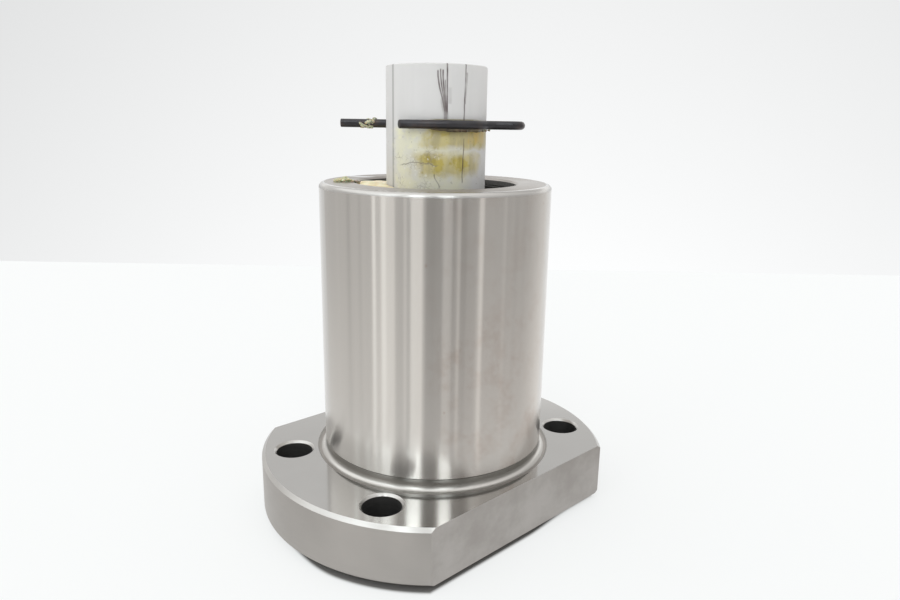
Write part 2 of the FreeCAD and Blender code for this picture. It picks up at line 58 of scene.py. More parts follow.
# Sizes read from the frame
BODY_R = MOUNTS["housing_seat"]["dims"]["r_mm"] * MM
SEAT_FOOT = MOUNTS["housing_seat"]["pos_m"][2] - MOUNTS["housing_seat"]["dims"]["length_mm"] / 2 * MM
FLANGE_TOP = MOUNTS["flange_seat"]["pos_m"][2]
BOLT_R = MOUNTS["flange_bolts"]["dims"]["hole_r_mm"] * MM
BOLT_REACH = MOUNTS["flange_bolts"]["dims"]["spacing_x_mm"] / 2 * MM
BOLT_SPREAD = MOUNTS["flange_bolts"]["dims"]["spacing_y_mm"] / 2 * MM
HOLE_LAND = 0.5 * MM
RELIEF_R = math.hypot(BOLT_REACH, BOLT_SPREAD) - BOLT_R - HOLE_LAND
NUT_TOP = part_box("nut_body")[1].z
FLAT_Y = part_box("nut_body")[1].y
FLANGE_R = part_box("nut_body")[1].x
RECESS_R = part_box("top_wiper")[1].x
RING_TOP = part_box("top_retaining_ring")[1].z
SLEEVE_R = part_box("shipping_sleeve")[1].x
CLIP_Z = sum(corner.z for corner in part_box("hairpin_clip")) / 2
WIRE_R = (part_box("hairpin_clip")[1].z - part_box("hairpin_clip")[0].z) / 2

# Camera, from a fit of the nut's circles and edges to the photograph
PHOTO_WIDTH = 900
FOCAL_PIXELS = 701.09
SENSOR_MM = 36.0
CAMERA_PLACE = Vector((-82.549, -91.126, 68.968)) * MM
CAMERA_HEADING = math.radians(46.513)
CAMERA_PITCH = math.radians(14.244)
CAMERA_ROLL = math.radians(0.926)
FACING = math.atan2(CAMERA_PLACE.y, CAMERA_PLACE.x)


def set_camera():
    """Camera at the photographer's place."""
    camera = bpy.data.objects.new("camera", bpy.data.cameras.new("camera"))
    bpy.context.collection.objects.link(camera)
    camera.data.sensor_width = SENSOR_MM
    camera.data.lens = FOCAL_PIXELS * SENSOR_MM / PHOTO_WIDTH
    camera.data.clip_start = 1 * MM
    turn = Matrix.Rotation(CAMERA_HEADING - math.pi / 2, 4, "Z")
    tilt = Matrix.Rotation(math.pi / 2 - CAMERA_PITCH, 4, "X")
    roll = Matrix.Rotation(CAMERA_ROLL, 4, "Z")
    camera.matrix_world = Matrix.Translation(CAMERA_PLACE) @ turn @ tilt @ roll
    bpy.context.scene.camera = camera


def at_bearing(bearing, radius, height):
    """Point at a bearing in degrees, a radius and a height."""
    angle = FACING + math.radians(bearing)
    return Vector((radius * math.cos(angle), radius * math.sin(angle), height))


# Node helpers

def feed(tree, socket, value):
    """Links a socket to an output, or sets its plain value."""
    if isinstance(value, bpy.types.NodeSocket):
        tree.links.new(value, socket)
    else:
        socket.default_value = value


def add_node(tree, kind, settings=None, inputs=None):
    """New shader node with its settings and its inputs, by name or place."""
    made = tree.nodes.new(f"ShaderNode{kind}")
    for name, value in (settings or {}).items():
        setattr(made, name, value)
    for name, value in (inputs or {}).items():
        feed(tree, made.inputs[name], value)
    return made


def compute(tree, operation, *values):
    """Result of a Math node."""
    made = add_node(tree, "Math", {"operation": operation}, dict(enumerate(values)))
    return made.outputs[0]


def ramp(tree, value, start, end, low=0.0, high=1.0):
    """Smooth step of a value from low at start to high at end."""
    made = add_node(tree, "MapRange", {"interpolation_type": "SMOOTHSTEP"}, {
        "Value": value, "From Min": start, "From Max": end, "To Min": low, "To Max": high,
    })
    return made.outputs["Result"]


def varied(tree, share, first, second):
    """Value from the first where a share is 0 to the second where it is 1."""
    return compute(tree, "MULTIPLY_ADD", share, second - first, first)


def band(tree, value, middle, half, soft):
    """One within half of the middle, and a smooth fall to nothing over soft on each side."""
    away = compute(tree, "ABSOLUTE", compute(tree, "SUBTRACT", value, middle))
    return ramp(tree, away, half + soft, half)


def blend(tree, share, first, second):
    """Colour mix of two colours or outputs."""
    made = add_node(tree, "Mix", {"data_type": "RGBA"})
    feed(tree, made.inputs[0], share)
    feed(tree, made.inputs[6], first)
    feed(tree, made.inputs[7], second)
    return made.outputs[2]


def grain(tree, place, scale, detail=2.0, roughness=0.5, stretch=None):
    """Noise on object coordinates in metres, with an optional stretch per axis."""
    if stretch is not None:
        place = add_node(tree, "Mapping", None, {"Vector": place, "Scale": stretch}).outputs[0]
    made = add_node(tree, "TexNoise", None, {
        "Vector": place, "Scale": scale, "Detail": detail, "Roughness": roughness,
    })
    return made.outputs["Fac"]


def specks(tree, place, scale, size):
    """Small round specks, one in each cell."""
    made = add_node(tree, "TexVoronoi", None, {"Vector": place, "Scale": scale})
    return ramp(tree, made.outputs["Distance"], size, size / 2)


def cracks(tree, place, scale, width):
    """Thin lines between cells."""
    made = add_node(tree, "TexVoronoi", {"feature": "DISTANCE_TO_EDGE"}, {
        "Vector": place, "Scale": scale,
    })
    return ramp(tree, made.outputs["Distance"], width, width / 3)


def warped(tree, place, scale, reach):
    """Place shifted about by noise, up to a reach in metres."""
    made = add_node(tree, "TexNoise", None, {"Vector": place, "Scale": scale, "Detail": 2.0})
    shift = add_node(tree, "VectorMath", {"operation": "MULTIPLY_ADD"}, {
        0: made.outputs["Color"], 1: (2 * reach,) * 3, 2: (-reach,) * 3,
    })
    moved = add_node(tree, "VectorMath", {"operation": "ADD"}, {0: place, 1: shift.outputs[0]})
    return moved.outputs[0]


def product(tree, *shares):
    """Product of several shares."""
    result = shares[0]
    for share in shares[1:]:
        result = compute(tree, "MULTIPLY", result, share)
    return result


def bearing_of(tree, place):
    """Bearing in degrees and height in metres of a place about the screw axis."""
    split = add_node(tree, "SeparateXYZ", None, {0: place})
    turned = add_node(tree, "VectorRotate", {"rotation_type": "Z_AXIS"}, {
        "Vector": place, "Angle": -FACING,
    })
    flat = add_node(tree, "SeparateXYZ", None, {0: turned.outputs[0]})
    angle = compute(tree, "ARCTAN2", flat.outputs["Y"], flat.outputs["X"])
    return compute(tree, "DEGREES", angle), split.outputs["Z"]


def radius_of(tree, place):
    """Distance of a place from the screw axis, in metres."""
    split = add_node(tree, "SeparateXYZ", None, {0: place})
    flat = add_node(tree, "CombineXYZ", None, {0: split.outputs["X"], 1: split.outputs["Y"]})
    return add_node(tree, "VectorMath", {"operation": "LENGTH"}, {0: flat.outputs[0]}).outputs["Value"]


def new_material(name):
    """Material with an empty Principled shader; gives the material, its tree, shader and coordinates."""
    material = bpy.data.materials.new(name)
    material.use_nodes = True
    tree = material.node_tree
    shader = tree.nodes["Principled BSDF"]
    place = add_node(tree, "TexCoord").outputs["Object"]
    return material, tree, shader, place


def set_shader(tree, shader, **inputs):
    """Principled inputs by their names, with underscores for spaces."""
    for name, value in inputs.items():
        feed(tree, shader.inputs[name.replace("_", " ")], value)


def bump(tree, height, distance, strength=1.0):
    """Normal from a height between 0 and 1."""
    made = add_node(tree, "Bump", None, {"Height": height, "Distance": distance, "Strength": strength})
    return made.outputs["Normal"]


# Steel finishes

QUARTER_TURN = 0.25
# Noise in a finish: scale per metre, detail, roughness and how much closer it lies along each axis.
# A contrast is where a noise begins to count and where it is full, and what it gives at both. Specks
# and cracks have cells per metre and a size in cells; a sheen is a roughness, or two of them.
GRINDING_MARKS = (900.0, 2.0, 0.6, (0.25, 0.25, 18.0))
TURNING_MARKS = (700.0, 2.0, 0.6, (0.4, 0.4, 9.0))
MILLING_MARKS = (500.0, 2.0, 0.6, (0.3, 1.0, 8.0))
DRILLING_MARKS = (600.0, 2.0, 0.6, (0.5, 0.5, 6.0))
# Finishes with one noise: the noise, its two colours, its two roughnesses and the strength of the lay
PLAIN_STEELS = {
    # End face and flange face, ground almost to a mirror
    "faced_steel": (
        (220.0, 3.0), ((0.605, 0.602, 0.592, 1), (0.565, 0.562, 0.552, 1)), (0.08, 0.13), 0.45,
    ),
    # Bright chamfers of the flange and of its bolt holes, and the body's rounded top edge
    "edge_steel": (
        TURNING_MARKS, ((0.50, 0.49, 0.475, 1), (0.58, 0.57, 0.55, 1)), (0.26, 0.36), 0.6,
    ),
    # Walls of the drilled holes and of the recesses, dark with painted shade
    "drilled_steel_painted_shade": (
        DRILLING_MARKS, ((0.14, 0.138, 0.135, 1), (0.26, 0.255, 0.25, 1)), (0.42, 0.57), None,
    ),
    # Dark oiled snap rings
    "oiled_spring_steel": (
        (300.0, 3.0), ((0.035, 0.035, 0.033, 1), (0.075, 0.073, 0.07, 1)), (0.30, 0.45), 0.4,
    ),
    # Bright polished balls with a thin film of grease
    "ball_steel": (
        (500.0, 2.0), ((0.66, 0.65, 0.62, 1), (0.60, 0.57, 0.48, 1)), (0.06, 0.18), None,
    ),
}


def circular_lay(tree, shader, amount):
    """Grinding or turning marks round the axis, which spread a highlight across them."""
    tangent = add_node(tree, "Tangent", {"direction_type": "RADIAL", "axis": "Z"}).outputs[0]
    set_shader(tree, shader, Tangent=tangent, Anisotropic=amount, Anisotropic_Rotation=QUARTER_TURN)


def plain_steel(name):
    """Steel with one noise, as it is listed above."""
    marks, colours, sheen, lay = PLAIN_STEELS[name]
    material, tree, shader, place = new_material(name)
    share = grain(tree, place, *marks)
    set_shader(tree, shader, Base_Color=blend(tree, share, *colours), Metallic=1.0)
    set_shader(tree, shader, Roughness=varied(tree, share, *sheen))
    if lay is not None:
        circular_lay(tree, shader, lay)
    return material


STEEL = (0.60, 0.580, 0.550, 1)
STAIN = (0.45, 0.36, 0.305, 1)
STAIN_PATCHES = (170.0, 5.0, 0.66)
STAIN_CONTRAST = (0.44, 0.72, 0.25, 1.0)
STAIN_BEARING = (40.0, 30.0, 20.0)
STAIN_FADE = (50 * MM, 30 * MM, 0.45, 1.0)
STAIN_SHARE = 0.50
DOTS = (130.0, 0.035)
DOT_SHARE = 0.55
GROUND_CLOUD = (90.0, 3.0)
GROUND_SHEEN = 0.14
OILY_SHEEN = 0.20
OILY_FOOT = (FLANGE_TOP + 8 * MM, FLANGE_TOP + 2 * MM)
SHEEN_SPREAD = 0.04
GRINDING_DEPTH = 0.0008 * MM


def ground_steel():
    """Fine-ground steel, with marks round the axis, faint handling stains and a foot dulled by oil."""
    material, tree, shader, place = new_material("ground_steel")
    marks = grain(tree, place, *GRINDING_MARKS)
    cloud = grain(tree, place, *GROUND_CLOUD)
    bearing, height = bearing_of(tree, place)
    stain = product(tree, ramp(tree, grain(tree, place, *STAIN_PATCHES), *STAIN_CONTRAST),
                    band(tree, bearing, *STAIN_BEARING), ramp(tree, height, *STAIN_FADE), STAIN_SHARE)
    dots = product(tree, specks(tree, place, *DOTS), DOT_SHARE)
    colour = blend(tree, compute(tree, "MAXIMUM", stain, dots), STEEL, STAIN)
    sheen = ramp(tree, height, *OILY_FOOT, GROUND_SHEEN, OILY_SHEEN)
    for share in (marks, cloud):
        sheen = compute(tree, "MULTIPLY_ADD", share, SHEEN_SPREAD, sheen)
    set_shader(tree, shader, Base_Color=colour, Metallic=1.0, Roughness=sheen)
    set_shader(tree, shader, Normal=bump(tree, marks, GRINDING_DEPTH))
    circular_lay(tree, shader, 1.0)
    return material


RELIEF_COLOUR = (0.57, 0.558, 0.535, 1)
# Colour of the painted shade in the relief's neck, laid a little over it from the rim outwards too
NECK_PAINTED_SHADE = (0.31, 0.30, 0.28, 1)
RELIEF_NECK = (FLANGE_TOP - 0.05 * MM, FLANGE_TOP + 0.30 * MM)
RELIEF_RIM = (BODY_R + 0.85 * MM, BODY_R + 1.05 * MM)
RIM_PAINTED_SHADE = 0.1
RELIEF_SHEEN = (0.24, 0.50)
RELIEF_SPREAD = 0.10
RELIEF_LAY = 0.6


def relief_steel():
    """Turned relief, with painted shade in its neck and a little from its rim outwards, dull at its rim and
    bright along its fillet.
    """
    material, tree, shader, place = new_material("relief_steel")
    _, height = bearing_of(tree, place)
    neck = ramp(tree, height, *RELIEF_NECK)
    rim = ramp(tree, radius_of(tree, place), *RELIEF_RIM)
    # Painted shade: full in the neck, and a tenth of it from the rim outwards
    painted_shade = compute(tree, "MAXIMUM", neck, compute(tree, "MULTIPLY", rim, RIM_PAINTED_SHADE))
    sheen = compute(tree, "MULTIPLY_ADD", grain(tree, place, *TURNING_MARKS), RELIEF_SPREAD,
                    varied(tree, rim, *RELIEF_SHEEN))
    set_shader(tree, shader, Base_Color=blend(tree, painted_shade, RELIEF_COLOUR, NECK_PAINTED_SHADE))
    set_shader(tree, shader, Metallic=1.0, Roughness=sheen)
    circular_lay(tree, shader, RELIEF_LAY)
    return material


TURNED_CLOUD = (160.0, 3.0)
TURNED_COLOURS = ((0.395, 0.372, 0.352, 1), (0.455, 0.430, 0.405, 1))
TURNED_SHEEN = (0.36, 0.48)
TURNING_DEPTH = 0.002 * MM
TURNED_LAY = 0.75


def turned_steel():
    """Satin turned steel, with coarser marks than the ground faces."""
    material, tree, shader, place = new_material("turned_steel")
    marks = grain(tree, place, *TURNING_MARKS)
    cloud = grain(tree, place, *TURNED_CLOUD)
    set_shader(tree, shader, Base_Color=blend(tree, cloud, *TURNED_COLOURS), Metallic=1.0)
    set_shader(tree, shader, Roughness=varied(tree, marks, *TURNED_SHEEN))
    set_shader(tree, shader, Normal=bump(tree, marks, TURNING_DEPTH))
    circular_lay(tree, shader, TURNED_LAY)
    return material


MILLED_CLOUD = (130.0, 5.0, 0.62)
MILLED_CONTRAST = (0.3, 0.7)
MILLED_COLOURS = ((0.375, 0.35, 0.33, 1), (0.465, 0.44, 0.42, 1))
MILLED_SHEEN = (0.40, 0.50)
MILLING_DEPTH = 0.003 * MM


def milled_steel():
    """Flats milled along the flange, with fine straight marks."""
    material, tree, shader, place = new_material("milled_steel")
    marks = grain(tree, place, *MILLING_MARKS)
    cloud = ramp(tree, grain(tree, place, *MILLED_CLOUD), *MILLED_CONTRAST)
    set_shader(tree, shader, Base_Color=blend(tree, cloud, *MILLED_COLOURS), Metallic=1.0)
    set_shader(tree, shader, Roughness=varied(tree, marks, *MILLED_SHEEN))
    set_shader(tree, shader, Normal=bump(tree, marks, MILLING_DEPTH))
    return material


WIRE_CLOUD = (260.0, 4.0, 0.6)
WIRE_COLOURS = ((0.030, 0.030, 0.034, 1), (0.075, 0.073, 0.078, 1))
WIRE_BROWN = (0.10, 0.07, 0.06, 1)
BROWN_PATCHES = (420.0, 3.0)
BROWN_CONTRAST = (0.50, 0.72)
BROWN_SHARE = 0.5
WIRE_METAL = 0.75
WIRE_SHEEN = (0.22, 0.44)
WIRE_DEPTH = 0.01 * MM


def black_wire():
    """Blackened spring wire, clouded with grey and with brown patches."""
    material, tree, shader, place = new_material("black_wire")
    cloud = grain(tree, place, *WIRE_CLOUD)
    patches = ramp(tree, grain(tree, place, *BROWN_PATCHES), *BROWN_CONTRAST)
    brown = compute(tree, "MULTIPLY", patches, BROWN_SHARE)
    colour = blend(tree, brown, blend(tree, cloud, *WIRE_COLOURS), WIRE_BROWN)
    set_shader(tree, shader, Base_Color=colour, Metallic=WIRE_METAL)
    set_shader(tree, shader, Roughness=varied(tree, cloud, *WIRE_SHEEN))
    set_shader(tree, shader, Normal=bump(tree, cloud, WIRE_DEPTH))
    return material


# Plastics

# Moulded plastics: two colours and two roughnesses
MOULDED_PLASTICS = {
    "wiper_plastic": ((0.018, 0.018, 0.018, 1), (0.034, 0.033, 0.032, 1), 0.38, 0.50),
    "deflector_plastic": ((0.03, 0.03, 0.032, 1), (0.05, 0.05, 0.052, 1), 0.42, 0.54),
}
MOULDED_CLOUD = (200.0, 3.0)
EGGSHELL = (2200.0, 2.0)
EGGSHELL_DEPTH = 0.004 * MM


def moulded_plastic(name):
    """Plain moulded plastic with a faint cloud and a fine eggshell surface."""
    dark, light, glossy, dull = MOULDED_PLASTICS[name]
    material, tree, shader, place = new_material(name)
    cloud = grain(tree, place, *MOULDED_CLOUD)
    set_shader(tree, shader, Base_Color=blend(tree, cloud, dark, light))
    set_shader(tree, shader, Roughness=varied(tree, cloud, glossy, dull))
    set_shader(tree, shader, Normal=bump(tree, grain(tree, place, *EGGSHELL), EGGSHELL_DEPTH))
    return material


# On the sleeve, a stand is a height in mm above the nut's top and an arc is a length in mm round it
ARC_PER_DEGREE = math.radians(SLEEVE_R / MM)
SLEEVE_CLOUD = (160.0, 3.0)
SLEEVE_PALE = ((0.63, 0.625, 0.62, 1), (0.71, 0.70, 0.695, 1))
DRAW_MARKS = (500.0, 2.0, 0.6, (1.0, 1.0, 0.06))
DRAW_GREY = (0.55, 0.545, 0.54, 1)
DRAW_SHARE = 0.5
SEAM_BEARING = -56.0
SEAM_EDGES = (0.40, 0.05)
SEAM_GREY = (0.22, 0.215, 0.21, 1)
SEAM_SHARE = 0.65


def sleeve_base(tree, place, arc):
    """Pale drawn plastic with a grey seam down one side."""
    pale = blend(tree, grain(tree, place, *SLEEVE_CLOUD), *SLEEVE_PALE)
    draw = compute(tree, "MULTIPLY", grain(tree, place, *DRAW_MARKS), DRAW_SHARE)
    seam_away = compute(tree, "ABSOLUTE", compute(tree, "SUBTRACT", arc, SEAM_BEARING * ARC_PER_DEGREE))
    seam = compute(tree, "MULTIPLY", ramp(tree, seam_away, *SEAM_EDGES), SEAM_SHARE)
    return blend(tree, seam, blend(tree, draw, pale, DRAW_GREY), SEAM_GREY)


# Scratches: bearing at the top and at the foot, stands of both, width in mm and strength
SLEEVE_SCRATCHES = (
    (1.0, 9.6, 17.7, 10.6, 0.17, 0.95),
    (3.8, 10.2, 17.9, 10.6, 0.15, 0.85),
    (6.4, 10.8, 17.8, 10.6, 0.17, 0.95),
    (9.0, 11.4, 16.3, 10.6, 0.12, 0.75),
    (11.0, 11.8, 18.9, 10.6, 0.16, 1.00),
    (7.5, 11.0, 13.5, 10.4, 0.60, 0.45),
    (32.6, 31.6, 18.8, 10.2, 0.16, 1.00),
    (34.3, 32.5, 17.5, 13.0, 0.22, 0.60),
    (31.4, 31.0, 7.4, 0.6, 0.13, 0.80),
    (-1.0, 4.0, 1.7, -0.2, 0.13, 0.80),
    (14.0, 14.5, 15.2, 13.0, 0.45, 0.20),
)
SCRATCH_CORE = 0.4
SCRATCH_END = 0.3
SCRATCH_WANDER = (260.0, 2.0, 0.5, (0.2, 0.2, 1.0))
WANDER_REACH = 0.25
SCRATCH_BREAKS = (420.0, 2.0)
BREAK_GAIN = 1.6


def scratch_share(tree, place, arc, stand):
    """How far each place on the sleeve is scratched."""
    wander = varied(tree, grain(tree, place, *SCRATCH_WANDER), -WANDER_REACH, WANDER_REACH)
    ragged = compute(tree, "MULTIPLY", grain(tree, place, *SCRATCH_BREAKS), BREAK_GAIN)
    share = 0.0
    for top, foot, high, low, width, strength in SLEEVE_SCRATCHES:
        middle = compute(tree, "MULTIPLY", ramp(tree, stand, low, high, foot, top), ARC_PER_DEGREE)
        away = compute(tree, "SUBTRACT", compute(tree, "ADD", arc, wander), middle)
        line = ramp(tree, compute(tree, "ABSOLUTE", away), width, width * SCRATCH_CORE)
        span = band(tree, stand, (high + low) / 2, (high - low) / 2, SCRATCH_END)
        share = compute(tree, "MAXIMUM", share, product(tree, line, span, strength))
    return product(tree, share, compute(tree, "MINIMUM", ragged, 1.0))


CRAZE_PATCHES = (450.0, 3.0, 0.6)
CRAZE_CONTRAST = (0.46, 0.62)
CRAZE_WARP = (900.0, 0.5 * MM)
CRAZE_NET = (1300.0, 0.07)
CRAZE_SHARE = 0.42
LONG_CRACK_STAND = 3.3
LONG_CRACK_EDGES = (0.14, 0.04)
LONG_CRACK_BEARING = (-20.0, 19.0, 5.0)
LONG_CRACK_SHARE = 0.7


def craze_share(tree, place, bearing, edge, zone):
    """How far each place on the sleeve is crazed: a fine net, and one longer line round the front."""
    patches = ramp(tree, grain(tree, place, *CRAZE_PATCHES), *CRAZE_CONTRAST)
    net = cracks(tree, warped(tree, place, *CRAZE_WARP), *CRAZE_NET)
    long_away = compute(tree, "ABSOLUTE", compute(tree, "SUBTRACT", edge, LONG_CRACK_STAND))
    long_crack = product(tree, ramp(tree, long_away, *LONG_CRACK_EDGES),
                         band(tree, bearing, *LONG_CRACK_BEARING), LONG_CRACK_SHARE)
    return compute(tree, "MAXIMUM", product(tree, net, zone, patches, CRAZE_SHARE), long_crack)


# Grease under the clip with the clip's shadow painted into it
SHADED_GREASE = (0.28, 0.235, 0.095, 1)
DRIED_GREASE = (0.36, 0.285, 0.070, 1)
FRESH_GREASE = (0.54, 0.445, 0.115, 1)
AMBER_GREASE = (0.56, 0.40, 0.11, 1)
PALE_GREASE = (0.79, 0.775, 0.55, 1)
CRAZE = (0.25, 0.22, 0.16, 1)
BUBBLE = (0.80, 0.79, 0.74, 1)
SCRATCH = (0.07, 0.04, 0.04, 1)
# Patches of grease: stand and bearing of each, with its half width and soft edge
PALE_SPOTS = ((7.4, 1.4, 0.8), (-26.0, 16.0, 10.0))
UPPER_SMEAR = ((8.1, 1.5, 1.3), (38.0, 40.0, 20.0))
LOWER_SMEAR = ((3.4, 0.9, 1.7), (13.0, 26.0, 24.0))
AMBER_DRIPS = ((8.2, 1.2, 0.6), (54.0, 16.0, 8.0))
FILM_BEARING = (-6.0, 34.0, 20.0)
FILM_TOP = (9.8, 8.6)
FILM_CONTRAST = (0.3, 0.65, 0.2, 0.65)
SMEAR_TOP = (10.5, 10.2)
SMEAR_CONTRAST = (0.0, 1.0, 0.72, 1.0)
SHADED_BEARING = (20.0, 22.0, 10.0)
SHADED_FOOT = (7.4, 9.4)
SHADED_TOP = (10.6, 10.4)
CRAZE_BEARING = (-24.0, 22.0, 14.0)
CRAZE_TOP = (6.6, 5.0)
PIT_TOP = (9.6, 8.0)
SPOT_SHARE = 0.7
SHADED_SHARE = 0.8
DRIP_SHARE = 0.8
BUBBLE_SHARE = 0.6
PIT_SHARE = 0.35
# Noise that frays the patches, breaks them up and draws them into streaks
FRAY = (300.0, 4.0, 0.6)
FRAY_STAND = 1.2
FRAY_BEARING = 20.0
BLOTS = (420.0, 3.0, 0.6)
BLOT_CONTRAST = (0.46, 0.62)
STREAKS = (650.0, 3.0, 0.6, (1.0, 1.0, 0.2))
STREAK_CONTRAST = (0.36, 0.64)
BUBBLE_WARP = (1500.0, 0.4 * MM)
BUBBLES = (1250.0, 0.24)
PIT_WARP = (1100.0, 0.5 * MM)
PITS = (1100.0, 0.16)
SLEEVE_SHEEN = (0.56, 0.31)
SLEEVE_DEPTH = 0.06 * MM


def patch(tree, stand, bearing, where):
    """Soft-edged patch about a stand and a bearing."""
    stands, bearings = where
    return product(tree, band(tree, stand, *stands), band(tree, bearing, *bearings))


def sleeve_plastic():
    """Pale plastic, scratched and smeared with old yellow grease, with the clip's shadow painted on the
    grease under the clip.
    """
    material, tree, shader, place = new_material("sleeve_plastic")
    bearing, height = bearing_of(tree, place)
    stand = compute(tree, "MULTIPLY_ADD", height, 1 / MM, -NUT_TOP / MM)
    arc = compute(tree, "MULTIPLY", bearing, ARC_PER_DEGREE)
    fray = grain(tree, place, *FRAY)
    edge = compute(tree, "ADD", stand, varied(tree, fray, -FRAY_STAND, FRAY_STAND))
    turned = compute(tree, "ADD", bearing, varied(tree, fray, -FRAY_BEARING, FRAY_BEARING))
    streak = ramp(tree, grain(tree, place, *STREAKS), *STREAK_CONTRAST)
    blots = ramp(tree, grain(tree, place, *BLOTS), *BLOT_CONTRAST)

    film = product(tree, ramp(tree, edge, *FILM_TOP), band(tree, turned, *FILM_BEARING),
                   ramp(tree, fray, *FILM_CONTRAST))
    colour = blend(tree, film, sleeve_base(tree, place, arc), PALE_GREASE)
    spots = product(tree, patch(tree, edge, turned, PALE_SPOTS), blots, SPOT_SHARE)
    colour = blend(tree, spots, colour, PALE_GREASE)
    upper = product(tree, patch(tree, edge, turned, UPPER_SMEAR), ramp(tree, stand, *SMEAR_TOP))
    lower = patch(tree, edge, turned, LOWER_SMEAR)
    smear = product(tree, compute(tree, "MAXIMUM", upper, lower), ramp(tree, blots, *SMEAR_CONTRAST))
    colour = blend(tree, smear, colour, blend(tree, streak, DRIED_GREASE, FRESH_GREASE))
    # Painted shadow of the clip on the grease below it, fading downwards
    shaded = product(tree, ramp(tree, edge, *SHADED_FOOT), ramp(tree, stand, *SHADED_TOP),
                     band(tree, turned, *SHADED_BEARING), SHADED_SHARE)
    colour = blend(tree, shaded, colour, SHADED_GREASE)
    drips = product(tree, patch(tree, stand, bearing, AMBER_DRIPS), streak, DRIP_SHARE)
    colour = blend(tree, drips, colour, AMBER_GREASE)

    zone = product(tree, band(tree, turned, *CRAZE_BEARING), ramp(tree, edge, *CRAZE_TOP))
    crazed = craze_share(tree, place, bearing, edge, zone)
    colour = blend(tree, crazed, colour, CRAZE)
    bubbles = specks(tree, warped(tree, place, *BUBBLE_WARP), *BUBBLES)
    colour = blend(tree, product(tree, bubbles, zone, BUBBLE_SHARE), colour, BUBBLE)
    pits = specks(tree, warped(tree, place, *PIT_WARP), *PITS)
    colour = blend(tree, product(tree, pits, ramp(tree, stand, *PIT_TOP), PIT_SHARE), colour, CRAZE)
    scratched = scratch_share(tree, place, arc, stand)
    colour = blend(tree, scratched, colour, SCRATCH)

    greasy = compute(tree, "MAXIMUM", smear, spots)
    set_shader(tree, shader, Base_Color=colour, Roughness=varied(tree, greasy, *SLEEVE_SHEEN))
    sunk = compute(tree, "MAXIMUM", scratched, crazed)
    raised = compute(tree, "SUBTRACT", compute(tree, "MULTIPLY", greasy, fray), sunk)
    set_shader(tree, shader, Normal=bump(tree, raised, SLEEVE_DEPTH))
    return material


# Greases: colour where thin and where thick
GREASES = {
    "olive_grease": ((0.62, 0.61, 0.43, 1), (0.50, 0.48, 0.28, 1)),
    "mottled_grease": ((0.50, 0.49, 0.33, 1), (0.16, 0.15, 0.10, 1)),
    "cream_grease": ((0.80, 0.72, 0.46, 1), (0.66, 0.53, 0.25, 1)),
    "brown_grease": ((0.34, 0.29, 0.21, 1), (0.20, 0.16, 0.11, 1)),
    # Grease under the clip, darkened with the clip's painted shadow
    "dark_grease_painted_shadow": ((0.14, 0.11, 0.06, 1), (0.08, 0.06, 0.04, 1)),
}
GREASE_CLOUD = (900.0, 3.0)
GREASE_CONTRAST = (0.35, 0.68)
GREASE_SHEEN = 0.32
GREASE_GLOW = 0.25
GREASE_GLOW_REACH = 0.6 * MM
GREASE_DEPTH = 0.05 * MM


def grease(name):
    """Aged bearing grease, waxy and a little see-through."""
    material, tree, shader, place = new_material(name)
    cloud = ramp(tree, grain(tree, place, *GREASE_CLOUD), *GREASE_CONTRAST)
    set_shader(tree, shader, Base_Color=blend(tree, cloud, *GREASES[name]), Roughness=GREASE_SHEEN)
    set_shader(tree, shader, Subsurface_Weight=GREASE_GLOW, Subsurface_Scale=GREASE_GLOW_REACH)
    set_shader(tree, shader, Normal=bump(tree, cloud, GREASE_DEPTH))
    return material


# Pieces

WELD = 0.0005 * MM
FLAT_ANGLE = math.radians(0.4)
SHARP_ANGLE = math.radians(24)
SMOOTH_ANGLE = math.radians(36)
# Rounding of sharp edges: outer pieces, rings and deflectors
EASED = 0.12 * MM
EASED_RING = 0.08 * MM
EASED_DEFLECTOR = 0.05 * MM


def finish_piece(bm, name, body, materials, stands_for=()):
    """Turns a bmesh into a shaded piece that rides on a body."""
    mesh = bpy.data.meshes.new(name)
    bm.to_mesh(mesh)
    bm.free()
    for material in materials:
        mesh.materials.append(material)
    mesh.shade_smooth()
    mesh.set_sharp_from_angle(angle=SMOOTH_ANGLE)
    piece = bpy.data.objects.new(name, mesh)
    bpy.context.collection.objects.link(piece)
    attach(piece, body)
    if stands_for:
        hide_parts(*stands_for)
    return piece


def merged_copy(node):
    """Merged mesh of a CAD node, with its flat faces cleared of inner edges."""
    bm = bmesh.new()
    bm.from_mesh(NODES[node].data)
    bmesh.ops.remove_doubles(bm, verts=bm.verts, dist=WELD)
    bmesh.ops.dissolve_limit(bm, angle_limit=FLAT_ANGLE, verts=bm.verts, edges=bm.edges)
    return bm


def ease_edges(bm, rounding, wanted=lambda edge: True):
    """Rounds the sharp edges that are wanted."""
    sharp = [edge for edge in bm.edges
             if edge.is_manifold and edge.calc_face_angle() > SHARP_ANGLE and wanted(edge)]
    bmesh.ops.bevel(bm, geom=sharp, offset=rounding, offset_type="OFFSET", affect="EDGES",
                    segments=2, profile=0.5, material=-1, clamp_overlap=True)


def weighted(piece):
    """Normals that keep flat faces flat beside their rounded edges."""
    modifier = piece.modifiers.new("weighted_normals", "WEIGHTED_NORMAL")
    modifier.keep_sharp = True
    return piece


# How near a face or an edge has to lie to what it belongs to
TOUCH = 0.05 * MM
CLOSE = 0.1 * MM
SKIN = 1 * MM


def is_outside(edge):
    """True for an edge of the nut's outer faces, bolt holes and recess mouths."""
    middle = (edge.verts[0].co + edge.verts[1].co) / 2
    radius = math.hypot(middle.x, middle.y)
    near_end = middle.z > RING_TOP or middle.z < NUT_TOP - RING_TOP
    return radius > BODY_R - SKIN or (near_end and radius > RECESS_R - CLOSE)


